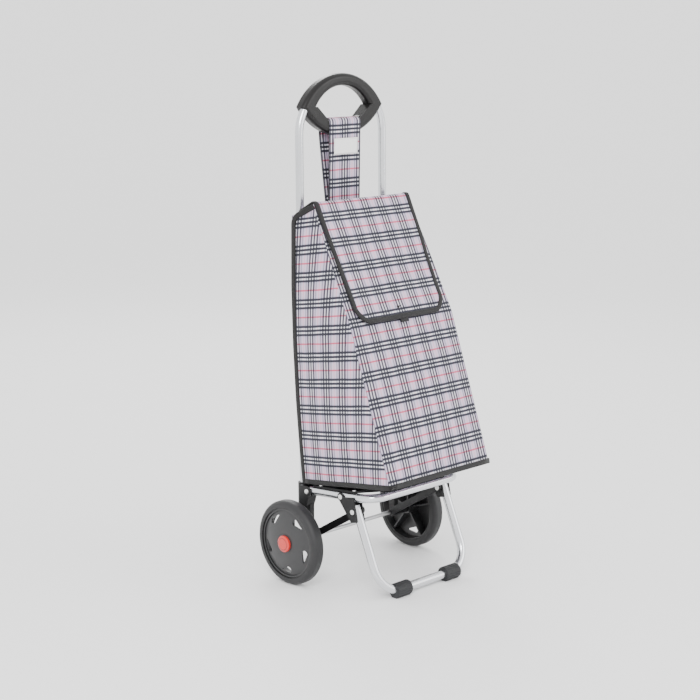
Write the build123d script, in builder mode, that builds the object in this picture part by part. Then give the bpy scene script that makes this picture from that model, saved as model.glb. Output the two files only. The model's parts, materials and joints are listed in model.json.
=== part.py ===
from build123d import *
import os
from math import cos, hypot, radians, sin, tan

# A folding two-wheeled shopping trolley, in millimetres. +X is the trolley's right, -Y its front,
# +Z up. The origin is on the floor under the middle of the trolley's box. The sketch axes of
# side_plane() are the distance behind the axle and the height, so every (y, z) point below is
# measured from the floor under the axle.

# Wheels and axle
WHEEL_D = 160.0
TYRE_W = 26.0
TYRE_DEPTH = 13.5
TYRE_SHOULDER_R = 9.0
WHEEL_OFFSET = 162.0  # from the trolley's middle to a wheel's middle plane
RIM_WALL = 3.0
DISC_WALL = 3.0
DISC_RISE = 6.5  # how far the dome stands out between rim and hub
HUB_R = 12.0
HUB_FACE = 15.5  # from the wheel's middle plane to the outer hub face
HUB_INNER_FACE = 14.0
BUSH_WALL = 3.0
CAP_D = 31.0
CAP_H = 6.0
CAP_WALL = 2.0
HOLE_COUNT = 5
HOLE_PITCH_R = 50.5
HOLE_HEAD_R = 5.8
HOLE_TIP_R = 1.2
HOLE_LENGTH = 20.0
HOLE_FIRST_ANGLE = 36.0
HOLE_TURN_BACK = 8.0  # from a hole's middle back to its round end, degrees
AXLE_D = 8.0
AXLE_STICK_OUT = 2.6  # past the outer hub face, inside the cap
CLIP_T = 1.2
WASHER_D = 17.0
RUNNING_GAP = 0.05  # radial gap wherever a pin or shaft turns in a hole

# Uprights and handle
UPRIGHT_D = 15.0
UPRIGHT_OFFSET = 107.0
UPRIGHT_LEAN = 0.66  # degrees
UPRIGHT_BASE_Y = 21.0  # where the uprights' line meets the floor
UPRIGHT_FOOT_Z = 138.0
UPRIGHT_BEND_Z = 853.0
UPRIGHT_BEND_R = 80.0
TUBE_WALL = 1.2
HANDLE_TOP_Z = 940.5
HANDLE_SEAM_Z = 881.0
HANDLE_BOTTOM_Z = 826.0
HANDLE_OUTER_X = 103.0
HANDLE_INNER_X = 67.5
HANDLE_BAR = 22.5  # thickness of the grip at the top of the arch
HANDLE_BAR_BOTTOM = 24.0  # thickness of the bow at its lowest point
HANDLE_DEPTH = 26.0
HANDLE_SET_BACK = 4.0
HANDLE_ROUND = 8.5
SOCKET_DEPTH = 9.0  # how far each upright reaches into the grip above the seam
UPRIGHT_BEND = 29.7  # degrees

SCREW_R = 1.8
SCREW_HEAD_R = 3.6
SCREW_HEAD_H = 1.6

# Rear brackets
FORK_R = 10.0
SOCKET_WALL = 3.5
SOCKET_TOP_Z = 181.0
SOCKET_FLOOR = 5.0
BRACKET_BACK_Y = 14.0
STOP_GAP = 0.1  # under the platform's tube
ARM_FACES = (108.0, 119.0)
ARM_HALF = 6.5
AXLE_BOSS_WALL = 5.0
BRACKET_SCREW_Z = 160.0

# Platform: a tube loop with a board on it, hinged on the rear brackets
LOOP_D = 16.0
LOOP_OFFSET = 116.5
LOOP_CORNER_R = 31.0
PLATFORM_PIVOT = (-6.3, 171.7)
PLATFORM_TILT = 5.7
PLATFORM_REACH = 164.0  # pivot to the front bar
PLATFORM_STUB = 4.5  # tube behind the pivot
BOARD_T = 4.0
BOARD_OVERHANG = 4.5
BOARD_CHAMFER = 50.0
BOARD_START = 13.0  # from the pivot to the board's rear edge
BOARD_SCREWS = (30.0, 118.0)
RIVET_R = 3.0
RIVET_HEAD_R = 4.8
RIVET_HEAD_H = 1.8
PLAY = 0.3  # side gap between flat parts that slide past each other
CHEEK_T = 2.3

# Leg and struts
LEG_PIVOT_REACH = 91.0  # platform pivot to leg pivot, along the tube
LEG_ANGLE = 23.7  # from vertical, feet to the front
LEG_OFFSET = 21.6  # leg pivot to the leg tube's line
LEG_TOP_Z = 168.0
LEG_CORNER_R = 50.0
FOOT_BAR_Z = 13.5
LEG_WEB = 21.0  # length of the bracket's web behind the leg tube
FOOT_OFFSET = 66.0
FOOT_LENGTH = 36.0
FOOT_WALL = 5.1
FOOT_RIBS = 20
FOOT_RIB_R = 0.9
SOLE_W = 12.0
STRUT_PIVOT = (-128.3, 158.1)
STRUT_W = 13.0
STRUT_T = 4.5

# Bag, flap and strap
BAG_HALF_WIDTH = 131.0
PANEL_T = 2.0
BAG_BACK_GAP = 0.8  # between the bag's back and the uprights
BAG_BOTTOM_Z = 184.6  # bag bottom at the axle
BAG_BOTTOM_TILT = 9.3
BAG_FRONT_Y = -229.0
BAG_KNEE = (-130.0, 500.0)
BAG_RIDGE = (-22.5, 711.5)
BAG_HINGE_Z = 688.0
BASE_INSERT_T = 3.0
BASE_INSERT_MARGIN = 20.0  # from the side panels to the insert
BINDING_W = 9.0
BINDING_T = 1.6
FLAP_GAP = 2.6
FLAP_T = 2.0
FLAP_HALF_TOP = 122.0
FLAP_HALF_BOTTOM = 114.0
FLAP_DROP = 238.0
FLAP_CORNER_R = 38.0
FLAP_BINDING_T = 3.2
ROOF_REAR_GAP = 5.0  # from the hinge corner to the roof's rear edge
TAB_W = 20.0
TAB_T = 1.0
TAB_LENGTH = 34.0
TAB_SHOWS = 7.0
PATCH_T = 0.6
STRAP_W = 80.0
STRAP_T = 2.0
STRAP_GAP = 0.4
LABEL_W = 60.0
LABEL_H = 30.0
LABEL_T = 0.8
STRAP_FOOT_Z = 640.0
STRAP_RISE = 9.0  # over the bow's lowest point, to clear its ends under the strap's edges
LABEL_Z = 807.0

# Worked out from the sizes above
AXLE_Z = WHEEL_D / 2
AXLE_Y = (WHEEL_D / 2 - BAG_FRONT_Y + BINDING_T) / 2 - WHEEL_D / 2
RIM_R = WHEEL_D / 2 - TYRE_DEPTH
AXLE_BOSS_R = AXLE_D / 2 + AXLE_BOSS_WALL
SOCKET_R = UPRIGHT_D / 2 + SOCKET_WALL
FOOT_R = LOOP_D / 2 + FOOT_WALL
LEG_LOBE_R = LOOP_D / 2 - PLAY  # stays under the board that lies on the platform tube
RAIL_INNER = LOOP_OFFSET - LOOP_D / 2 - PLAY  # the cheeks' faces beside the platform and leg tubes
RAIL_OUTER = LOOP_OFFSET + LOOP_D / 2 + PLAY
CHEEK_FACES = (RAIL_INNER - CHEEK_T, RAIL_OUTER)  # where the inner and the outer cheek start
STRUT_OUTER = RAIL_INNER - CHEEK_T - PLAY
LEAN_SLOPE = tan(radians(UPRIGHT_LEAN))
BAG_BOTTOM_SLOPE = tan(radians(BAG_BOTTOM_TILT))
BEND_SLOPE = tan(radians(UPRIGHT_BEND))
UPRIGHT_END_Z = HANDLE_SEAM_Z + SOCKET_DEPTH * cos(radians(UPRIGHT_BEND))
UPRIGHT_END_X = UPRIGHT_OFFSET - (UPRIGHT_END_Z - UPRIGHT_BEND_Z) * BEND_SLOPE
HANDLE_SCREW_Z = HANDLE_SEAM_Z + SOCKET_DEPTH / 2
HANDLE_SCREW_X = UPRIGHT_OFFSET - (HANDLE_SCREW_Z - UPRIGHT_BEND_Z) * BEND_SLOPE


def along(start, end, distance):
    """The point at a distance from start on the way to end."""
    length = hypot(end[0] - start[0], end[1] - start[1])
    return tuple(a + (b - a) * distance / length for a, b in zip(start, end))


def beside(start, end, distance):
    """How far to move a line from start to end to lay it that distance to its left."""
    length = hypot(end[0] - start[0], end[1] - start[1])
    return (-(end[1] - start[1]) * distance / length, (end[0] - start[0]) * distance / length)


def shifted(point, move):
    """A point moved by an offset."""
    return (point[0] + move[0], point[1] + move[1])


def corner(before, point, after, distance):
    """The mitred corner of a bent line moved to its left by a distance."""
    first, second = beside(before, point, 1), beside(point, after, 1)
    scale = distance / (1 + first[0] * second[0] + first[1] * second[1])
    return (point[0] + (first[0] + second[0]) * scale, point[1] + (first[1] + second[1]) * scale)


def strip(start, end, near, far):
    """A strip along a line, from near to far to the line's left."""
    low, high = beside(start, end, near), beside(start, end, far)
    return [shifted(start, low), shifted(end, low), shifted(end, high), shifted(start, high)]


def bag_back_y(z):
    """The bag's back at a height, just in front of the uprights."""
    return UPRIGHT_BASE_Y + z * LEAN_SLOPE - UPRIGHT_D / 2 - BAG_BACK_GAP


def bag_bottom_z(y):
    """The bag's bottom, which rises to the front."""
    return BAG_BOTTOM_Z - y * BAG_BOTTOM_SLOPE


PIVOT_TO_FRONT = (-cos(radians(PLATFORM_TILT)), sin(radians(PLATFORM_TILT)))
LEG_PIVOT = shifted(PLATFORM_PIVOT, [LEG_PIVOT_REACH * part for part in PIVOT_TO_FRONT])
LEG_DOWN = (-sin(radians(LEG_ANGLE)), -cos(radians(LEG_ANGLE)))
LEG_LINE = shifted(LEG_PIVOT, (LEG_OFFSET * LEG_DOWN[1], -LEG_OFFSET * LEG_DOWN[0]))
LEG_TOP = along(LEG_LINE, shifted(LEG_LINE, LEG_DOWN), (LEG_LINE[1] - LEG_TOP_Z) / -LEG_DOWN[1])
LEG_LENGTH = (LEG_TOP_Z - FOOT_BAR_Z) / cos(radians(LEG_ANGLE))
FOOT_BAR = (LEG_TOP[0] + LEG_LENGTH * LEG_DOWN[0], FOOT_BAR_Z)
BAG_BACK_BOTTOM = (bag_back_y(BAG_BOTTOM_Z), bag_bottom_z(bag_back_y(BAG_BOTTOM_Z)))
BAG_HINGE = (bag_back_y(BAG_HINGE_Z), BAG_HINGE_Z)
BAG_FRONT_BOTTOM = (BAG_FRONT_Y, bag_bottom_z(BAG_FRONT_Y))
BAG_OUTLINE = [BAG_BACK_BOTTOM, BAG_HINGE, BAG_RIDGE, BAG_KNEE, BAG_FRONT_BOTTOM]
ROOF_LENGTH = hypot(BAG_HINGE[0] - BAG_RIDGE[0], BAG_HINGE[1] - BAG_RIDGE[1])
FLAP_PROUD = (FLAP_BINDING_T - FLAP_T) / 2
FLAP_OUTER = FLAP_GAP + FLAP_T + FLAP_PROUD

AXLE_AXIS = Axis((0, AXLE_Y, AXLE_Z), (1, 0, 0))


def side_plane(x):
    """A plane facing +X at x, with (distance behind the axle, height) as its sketch axes."""
    return Plane(origin=(x, AXLE_Y, 0), x_dir=(0, 1, 0), z_dir=(1, 0, 0))


def cross_plane(point, up, x=0.0):
    """A plane across the trolley through a side point, whose second sketch axis runs along up."""
    length = hypot(*up)
    out = (0, -up[1] / length, up[0] / length)
    return Plane(origin=(x, AXLE_Y + point[0], point[1]), x_dir=(1, 0, 0), z_dir=out)


AXLE_SECTION = cross_plane((0, AXLE_Z), (0, 1))
REAR_PLANE = cross_plane((UPRIGHT_BASE_Y, 0), (LEAN_SLOPE, 1))
HANDLE_PLANE = REAR_PLANE.offset(-HANDLE_SET_BACK)
SOCKET_Z = UPRIGHT_FOOT_Z - SOCKET_FLOOR
SOCKET_PLANE = Plane(
    origin=(UPRIGHT_OFFSET, AXLE_Y + UPRIGHT_BASE_Y + SOCKET_Z * LEAN_SLOPE, SOCKET_Z),
    z_dir=(0, LEAN_SLOPE, 1),
)
PLATFORM_PLANE = cross_plane(PLATFORM_PIVOT, PIVOT_TO_FRONT)
LEG_PLANE = cross_plane(LEG_TOP, (-LEG_DOWN[0], -LEG_DOWN[1]))
ROOF_PLANE = cross_plane(BAG_HINGE, (BAG_HINGE[0] - BAG_RIDGE[0], BAG_HINGE[1] - BAG_RIDGE[1]))
FLAP_PLANE = cross_plane(BAG_RIDGE, (BAG_RIDGE[0] - BAG_KNEE[0], BAG_RIDGE[1] - BAG_KNEE[1]))


def write(piece, name):
    """Labels a finished piece and writes its STEP file."""
    piece.part.label = name
    export_step(piece.part, f"parts/{name}.step")


def write_pair(piece, name):
    """Writes a right-hand piece and its mirror image on the left."""
    write(piece, f"{name}_right")
    with BuildPart() as other:
        mirror(piece.part, about=Plane.YZ)
    write(other, f"{name}_left")


def write_both_sides(piece, name):
    """Writes a right-hand piece and its mirror image as one node."""
    with BuildPart() as group:
        add(piece.part)
        mirror(piece.part, about=Plane.YZ)
    write(group, name)


def cross_pin(point, radius):
    """A round bar along X through a side point, long enough to bore both sides of the trolley."""
    with BuildPart() as pin:
        with BuildSketch(side_plane(0)):
            with Locations(point):
                Circle(radius)
        extrude(amount=2 * LOOP_OFFSET, both=True)
    return pin.part


def rivet(point, inner, outer):
    """A rivet along X through a side point: a shank with a domed head at its outer end."""
    with BuildPart() as pin:
        with BuildSketch(side_plane(inner)):
            with Locations(point):
                Circle(RIVET_R)
        extrude(amount=outer - inner)
        with BuildSketch(side_plane(outer)):
            with Locations(point):
                Circle(RIVET_HEAD_R)
        extrude(amount=RIVET_HEAD_H)
        fillet(pin.edges().filter_by(GeomType.CIRCLE).sort_by(Axis.X)[-1], RIVET_HEAD_H * 0.6)
    return pin


# ---------------------------------------------------------------- wheels


def make_wheels():
    """Tyre, disc, bush and hub cap of one wheel, each written with its mirror image."""
    middle = WHEEL_OFFSET
    with BuildPart() as tyre:
        with BuildSketch(AXLE_SECTION):
            with Locations((middle, (WHEEL_D / 2 + RIM_R) / 2)):
                Rectangle(TYRE_W, TYRE_DEPTH)
        revolve(axis=AXLE_AXIS)
        treads = tyre.edges().filter_by(GeomType.CIRCLE).filter_by(lambda edge: edge.radius > RIM_R + 1)
        fillet(treads, TYRE_SHOULDER_R)
    write_pair(tyre, "tyre")

    skirt = RIM_R - RIM_WALL
    rim_face = TYRE_W / 2 - 2
    dome_start = (middle + HUB_FACE - DISC_RISE, skirt - 1.5)
    dome_end = (middle + HUB_FACE, CAP_D / 2 + 4)
    dome_middle = (middle + HUB_FACE - DISC_RISE * 0.3, (dome_start[1] + dome_end[1]) / 2)
    bush_r = AXLE_D / 2 + RUNNING_GAP + BUSH_WALL
    with BuildPart() as rib:
        with BuildSketch(AXLE_SECTION):
            with BuildLine():
                Polyline(
                    (middle - TYRE_W / 2 + 4, HUB_R - 1), (dome_end[0] - 1, HUB_R - 1),
                    (dome_end[0] - 1, dome_end[1]), (dome_middle[0] - 1, dome_middle[1]),
                    (dome_start[0] - 1, dome_start[1]), (dome_start[0] - 1, skirt + 1),
                    (middle - TYRE_W / 2 + 4, skirt + 1), close=True,
                )
            make_face()
        extrude(amount=DISC_WALL / 2, both=True)
    with BuildSketch() as teardrop:
        Circle(HOLE_HEAD_R)
        with Locations((0, HOLE_LENGTH - HOLE_TIP_R)):
            Circle(HOLE_TIP_R)
        make_hull()
    with BuildPart() as disc:
        with BuildSketch(AXLE_SECTION):
            with BuildLine():
                outer_skin = ThreePointArc(dome_start, dome_middle, dome_end)
                inner_skin = ThreePointArc(
                    (dome_end[0] - DISC_WALL, dome_end[1]),
                    (dome_middle[0] - DISC_WALL, dome_middle[1]),
                    (dome_start[0] - DISC_WALL, dome_start[1]),
                )
                Polyline(
                    dome_end, (dome_end[0], bush_r), (middle - HUB_INNER_FACE, bush_r),
                    (middle - HUB_INNER_FACE, HUB_R), (dome_end[0] - DISC_WALL, HUB_R),
                    (dome_end[0] - DISC_WALL, dome_end[1]),
                )
                Polyline(
                    (dome_start[0] - DISC_WALL, dome_start[1]), (dome_start[0] - DISC_WALL, skirt),
                    (middle - TYRE_W / 2 + 1, skirt), (middle - TYRE_W / 2 + 1, RIM_R),
                    (middle + rim_face, RIM_R), (middle + rim_face, skirt - 1.5), dome_start,
                )
            make_face()
        revolve(axis=AXLE_AXIS)
        for number in range(HOLE_COUNT):
            add(rib.part.rotate(AXLE_AXIS, 360 / HOLE_COUNT * number))
        with BuildSketch(side_plane(middle)):
            with Locations((0, AXLE_Z)):
                with PolarLocations(HOLE_PITCH_R, HOLE_COUNT, 90 + HOLE_FIRST_ANGLE - HOLE_TURN_BACK):
                    add(teardrop.sketch)
        extrude(amount=HUB_FACE + 1, mode=Mode.SUBTRACT)
    write_pair(disc, "wheel_disc")

    with BuildPart() as bush:
        with BuildSketch(side_plane(middle - HUB_INNER_FACE - 1)):
            with Locations((0, AXLE_Z)):
                Circle(bush_r)
                Circle(AXLE_D / 2 + RUNNING_GAP, mode=Mode.SUBTRACT)
        extrude(amount=HUB_INNER_FACE + 1 + HUB_FACE)
    write_pair(bush, "wheel_bush")

    face, cap_r = middle + HUB_FACE, CAP_D / 2
    with BuildPart() as cap:
        with BuildSketch(AXLE_SECTION):
            with BuildLine():
                dome = ThreePointArc(
                    (face + CAP_H - 2.2, cap_r), (face + CAP_H - 0.6, cap_r - 2.4),
                    (face + CAP_H, cap_r - 6),
                )
                Polyline(
                    dome @ 1, (face + CAP_H, 0), (face + CAP_H - CAP_WALL, 0),
                    (face + CAP_H - CAP_WALL, cap_r - 2 * CAP_WALL), (face, cap_r - 2 * CAP_WALL),
                    (face, cap_r), dome @ 0,
                )
            make_face()
        revolve(axis=AXLE_AXIS)
    write_pair(cap, "hub_cap")


def make_axle():
    """The axle rod, its spacers and the clips that keep the wheels on."""
    end = WHEEL_OFFSET + HUB_FACE + AXLE_STICK_OUT
    with BuildPart() as axle:
        with BuildSketch(side_plane(0)):
            with Locations((0, AXLE_Z)):
                Circle(AXLE_D / 2)
        extrude(amount=end, both=True)
        chamfer(axle.edges().filter_by(GeomType.CIRCLE), 0.6)
    write(axle, "axle")
    spacer_start = ARM_FACES[1]
    spacer_end = WHEEL_OFFSET - HUB_INNER_FACE - 1 - PLAY
    with BuildPart() as spacer:
        with BuildSketch(side_plane(spacer_start)):
            with Locations((0, AXLE_Z)):
                Circle(WASHER_D / 2)
                Circle(AXLE_D / 2, mode=Mode.SUBTRACT)
        extrude(amount=spacer_end - spacer_start)
    write_both_sides(spacer, "axle_spacers")
    with BuildPart() as clip:
        with BuildSketch(side_plane(WHEEL_OFFSET + HUB_FACE + PLAY)):
            with Locations((0, AXLE_Z)):
                Circle(AXLE_D)
                Circle(AXLE_D / 2, mode=Mode.SUBTRACT)
        extrude(amount=CLIP_T)
    write_both_sides(clip, "axle_clips")


# ---------------------------------------------------------------- uprights and handle


def back_pin(x, height):
    """A screw's hole from behind the uprights to their middle line."""
    with BuildPart() as pin:
        with BuildSketch(REAR_PLANE.offset(-30)):
            with Locations((x, height)):
                Circle(SCREW_R)
        extrude(amount=30)
    return pin.part


def back_screw(x, height, head_back):
    """A screw from behind, its head sitting head_back behind the uprights' middle line."""
    with BuildPart() as screw:
        with BuildSketch(REAR_PLANE.offset(-head_back)):
            with Locations((x, height)):
                Circle(SCREW_R)
        extrude(amount=head_back - UPRIGHT_D / 2 + TUBE_WALL + 1)
        with BuildSketch(REAR_PLANE.offset(-head_back)):
            with Locations((x, height)):
                Circle(SCREW_HEAD_R)
        extrude(amount=-SCREW_HEAD_H)
        fillet(screw.edges().filter_by(GeomType.CIRCLE).sort_by(Axis.Y)[-1], SCREW_HEAD_H * 0.6)
    return screw


def upright_core(wall=0.0):
    """The right upright's outer shape, or its bore if a wall is given."""
    with BuildPart() as core:
        with BuildLine(REAR_PLANE) as path:
            FilletPolyline(
                (UPRIGHT_OFFSET, UPRIGHT_FOOT_Z), (UPRIGHT_OFFSET, UPRIGHT_BEND_Z),
                (UPRIGHT_END_X, UPRIGHT_END_Z), radius=UPRIGHT_BEND_R,
            )
        with BuildSketch(Plane(origin=path.line @ 0, z_dir=path.line % 0)):
            Circle(UPRIGHT_D / 2 - wall)
        sweep(path=path.line)
    return core.part


def make_uprights():
    """Both upright tubes, from the rear brackets into the handle."""
    core, bore = upright_core(), upright_core(TUBE_WALL)
    holes = [back_pin(UPRIGHT_OFFSET, BRACKET_SCREW_Z), back_pin(HANDLE_SCREW_X, HANDLE_SCREW_Z)]
    with BuildPart() as upright:
        add(core)
        add([bore, *holes], mode=Mode.SUBTRACT)
    write_pair(upright, "upright")


def make_handle():
    """The two halves of the loop handle and their screws."""
    top_outer, top_inner = HANDLE_TOP_Z, HANDLE_TOP_Z - HANDLE_BAR
    outer_left, outer_right = (-HANDLE_OUTER_X, HANDLE_SEAM_Z), (HANDLE_OUTER_X, HANDLE_SEAM_Z)
    inner_left, inner_right = (-HANDLE_INNER_X, HANDLE_SEAM_Z), (HANDLE_INNER_X, HANDLE_SEAM_Z)
    tubes = [upright_core(), mirror(upright_core(), about=Plane.YZ)]
    holes = [back_pin(x, HANDLE_SCREW_Z) for x in (-HANDLE_SCREW_X, HANDLE_SCREW_X)]
    with BuildPart() as grip:
        with BuildSketch(HANDLE_PLANE):
            with BuildLine():
                ThreePointArc(outer_left, (0, top_outer), outer_right)
                Line(outer_right, inner_right)
                ThreePointArc(inner_right, (0, top_inner), inner_left)
                Line(inner_left, outer_left)
            make_face()
        extrude(amount=HANDLE_DEPTH / 2, both=True)
        arches = grip.edges().filter_by(GeomType.CIRCLE)
        fillet(arches, HANDLE_ROUND)
        add(tubes, mode=Mode.SUBTRACT)
        add(holes, mode=Mode.SUBTRACT)
    write(grip, "handle_grip")

    inner_low = HANDLE_BOTTOM_Z + HANDLE_BAR_BOTTOM
    bend_x, bend_z = HANDLE_INNER_X - 21.5, inner_low + 11
    with BuildPart() as bow:
        with BuildSketch(HANDLE_PLANE):
            with BuildLine():
                ThreePointArc(outer_left, (0, HANDLE_BOTTOM_Z), outer_right)
                Polyline(outer_right, inner_right, (bend_x, bend_z))
                ThreePointArc((bend_x, bend_z), (0, inner_low), (-bend_x, bend_z))
                Polyline((-bend_x, bend_z), inner_left, outer_left)
            make_face()
        extrude(amount=HANDLE_DEPTH / 2, both=True)
        rims = bow.faces().sort_by(Axis.Y)[0].edges() + bow.faces().sort_by(Axis.Y)[-1].edges()
        fillet(rims.filter_by(GeomType.CIRCLE), HANDLE_ROUND)
        add(tubes, mode=Mode.SUBTRACT)
    write(bow, "handle_bow")
    screw = back_screw(HANDLE_SCREW_X, HANDLE_SCREW_Z, HANDLE_DEPTH / 2 + HANDLE_SET_BACK)
    write_both_sides(screw, "handle_screws")


def make_rear_brackets():
    """The brackets under the uprights: a socket, a fork for the platform and an arm to the axle."""
    stub_room = hypot(PLATFORM_STUB, LOOP_D / 2) + PLAY
    rest_line = LOOP_D / 2 / cos(radians(PLATFORM_TILT)) + STOP_GAP
    under = PLATFORM_PIVOT[1] - rest_line
    rise = tan(radians(PLATFORM_TILT))
    pivot_y, pivot_z = PLATFORM_PIVOT
    behind = pivot_y + stub_room
    pins = [
        cross_pin(PLATFORM_PIVOT, RIVET_R), cross_pin((0, AXLE_Z), AXLE_D / 2),
        back_pin(UPRIGHT_OFFSET, BRACKET_SCREW_Z), upright_core(),
    ]
    with BuildPart() as bracket:
        with BuildSketch(side_plane(CHEEK_FACES[0])):
            with BuildLine():
                Polyline(
                    (pivot_y - 5.7, pivot_z - 5), (pivot_y, pivot_z + FORK_R),
                    (BRACKET_BACK_Y, pivot_z + FORK_R - 1.5), (BRACKET_BACK_Y, pivot_z - 34),
                    (pivot_y + 2, pivot_z - 30), (pivot_y - 2, pivot_z - 20), close=True,
                )
            make_face()
            with Locations(PLATFORM_PIVOT):
                Circle(FORK_R)
        extrude(amount=CHEEK_FACES[1] + CHEEK_T - CHEEK_FACES[0])
        with BuildSketch(side_plane(ARM_FACES[0])):
            with BuildLine():
                Polyline(
                    (-ARM_HALF, pivot_z - 26), (-ARM_HALF, AXLE_Z), (ARM_HALF, AXLE_Z),
                    (BRACKET_BACK_Y, pivot_z - 34), (BRACKET_BACK_Y, pivot_z - 26), close=True,
                )
            make_face()
            with Locations((0, AXLE_Z)):
                Circle(AXLE_BOSS_R)
        extrude(amount=ARM_FACES[1] - ARM_FACES[0])
        with BuildSketch(SOCKET_PLANE):
            Circle(SOCKET_R)
        extrude(amount=SOCKET_TOP_Z - UPRIGHT_FOOT_Z + SOCKET_FLOOR)
        with BuildSketch(side_plane(RAIL_INNER)):
            with BuildLine():
                Polyline(
                    (pivot_y - 40, under + 40 * rise), (pivot_y, under), (behind, pivot_z),
                    (behind, pivot_z + 20), (pivot_y - 40, pivot_z + 20), close=True,
                )
            make_face()
            with Locations(PLATFORM_PIVOT):
                Circle(stub_room)
        extrude(amount=RAIL_OUTER - RAIL_INNER, mode=Mode.SUBTRACT)
        add(pins, mode=Mode.SUBTRACT)
    write_pair(bracket, "rear_bracket")
    write_both_sides(back_screw(UPRIGHT_OFFSET, BRACKET_SCREW_Z, SOCKET_R), "bracket_screws")
    write_both_sides(rivet(PLATFORM_PIVOT, CHEEK_FACES[0], CHEEK_FACES[1] + CHEEK_T), "pivot_rivets")


# ---------------------------------------------------------------- platform, leg and struts


def tube_loop(plane, points, corner_r, radius):
    """A solid round bar of a given radius along a bent path on a plane."""
    with BuildPart() as core:
        with BuildLine(plane) as path:
            FilletPolyline(*points, radius=corner_r)
        with BuildSketch(Plane(origin=path.line @ 0, z_dir=path.line % 0)):
            Circle(radius)
        sweep(path=path.line)
    return core.part


def make_platform():
    """The tube loop, the board on it, its screws and the rivets of the leg's pivots."""
    loop = [
        (LOOP_OFFSET, -PLATFORM_STUB), (LOOP_OFFSET, PLATFORM_REACH),
        (-LOOP_OFFSET, PLATFORM_REACH), (-LOOP_OFFSET, -PLATFORM_STUB),
    ]
    screws = [(x, y) for x in (-LOOP_OFFSET, LOOP_OFFSET) for y in BOARD_SCREWS]
    top = LOOP_D / 2 + BOARD_T
    core = tube_loop(PLATFORM_PLANE, loop, LOOP_CORNER_R, LOOP_D / 2)
    inside = [
        tube_loop(PLATFORM_PLANE, loop, LOOP_CORNER_R, LOOP_D / 2 - TUBE_WALL),
        cross_pin(PLATFORM_PIVOT, RIVET_R + RUNNING_GAP), cross_pin(LEG_PIVOT, RIVET_R),
    ]
    with BuildPart() as tube:
        add(core)
        add(inside, mode=Mode.SUBTRACT)
        with BuildSketch(PLATFORM_PLANE.offset(-top)):
            with Locations(*screws):
                Circle(SCREW_R)
        extrude(amount=top, mode=Mode.SUBTRACT)
    write(tube, "platform_tube")

    half = LOOP_OFFSET + BOARD_OVERHANG
    front = PLATFORM_REACH + BOARD_OVERHANG
    with BuildPart() as board:
        with BuildSketch(PLATFORM_PLANE.offset(-top)):
            with BuildLine():
                Polyline(
                    (-half, BOARD_START), (half, BOARD_START), (half, front - BOARD_CHAMFER),
                    (half - BOARD_CHAMFER, front), (BOARD_CHAMFER - half, front),
                    (-half, front - BOARD_CHAMFER), close=True,
                )
            make_face()
        extrude(amount=BOARD_T)
        with BuildSketch(PLATFORM_PLANE.offset(-top)):
            with Locations(*screws):
                Circle(SCREW_R)
        extrude(amount=BOARD_T, mode=Mode.SUBTRACT)
    write(board, "platform_board")
    with BuildPart() as board_screws:
        with BuildSketch(PLATFORM_PLANE.offset(-top)):
            with Locations(*screws):
                Circle(SCREW_R)
        extrude(amount=BOARD_T + TUBE_WALL + 1)
        with BuildSketch(PLATFORM_PLANE.offset(-top)):
            with Locations(*screws):
                Circle(SCREW_HEAD_R)
        extrude(amount=-SCREW_HEAD_H)
    write(board_screws, "board_screws")
    write_both_sides(rivet(LEG_PIVOT, CHEEK_FACES[0], CHEEK_FACES[1] + CHEEK_T), "leg_pivot_rivets")


def make_leg():
    """The front leg: a tube loop, the brackets it hangs on, their rivets and the rubber feet."""
    loop = [
        (LOOP_OFFSET, 0), (LOOP_OFFSET, -LEG_LENGTH),
        (-LOOP_OFFSET, -LEG_LENGTH), (-LOOP_OFFSET, 0),
    ]
    core = tube_loop(LEG_PLANE, loop, LEG_CORNER_R, LOOP_D / 2)
    inside = tube_loop(LEG_PLANE, loop, LEG_CORNER_R, LOOP_D / 2 - TUBE_WALL)
    strut_bore = cross_pin(STRUT_PIVOT, RIVET_R)
    bores = [cross_pin(LEG_PIVOT, RIVET_R + RUNNING_GAP), strut_bore]
    with BuildPart() as tube:
        add(core)
        add([inside, strut_bore], mode=Mode.SUBTRACT)
    write(tube, "leg_tube")

    pivot_y, pivot_z = LEG_PIVOT
    web_end = along(LEG_TOP, FOOT_BAR, LEG_WEB)
    with BuildPart() as bracket:
        for face in CHEEK_FACES:
            with BuildSketch(side_plane(face)):
                with BuildLine():
                    Polyline(
                        (pivot_y + 7.2, pivot_z - 2.2), shifted(STRUT_PIVOT, (3.5, -20.8)),
                        shifted(STRUT_PIVOT, (-11.7, -17.1)), (STRUT_PIVOT[0] - 1.7, pivot_z + 5.3),
                        close=True,
                    )
                make_face()
                with Locations(LEG_PIVOT):
                    Circle(LEG_LOBE_R)
            extrude(amount=CHEEK_T)
        with BuildSketch(side_plane(RAIL_INNER)):
            with BuildLine():
                Polyline(*strip(LEG_TOP, web_end, LOOP_D / 2, LOOP_D / 2 + CHEEK_T), close=True)
            make_face()
        extrude(amount=RAIL_OUTER - RAIL_INNER)
        add(bores, mode=Mode.SUBTRACT)
    write_pair(bracket, "leg_bracket")
    write_both_sides(rivet(STRUT_PIVOT, CHEEK_FACES[0], CHEEK_FACES[1] + CHEEK_T), "leg_rivets")

    with BuildPart() as foot:
        with BuildSketch(side_plane(FOOT_OFFSET - FOOT_LENGTH / 2)):
            with Locations(FOOT_BAR):
                Circle(FOOT_R)
                with PolarLocations(FOOT_R, FOOT_RIBS):
                    Circle(FOOT_RIB_R)
            with Locations((FOOT_BAR[0], 2)):
                Rectangle(SOLE_W, 4)
            with Locations((FOOT_BAR[0], -2)):
                Rectangle(4 * FOOT_R, 4, mode=Mode.SUBTRACT)
        extrude(amount=FOOT_LENGTH)
        add(core, mode=Mode.SUBTRACT)
    write_pair(foot, "foot")


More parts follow.
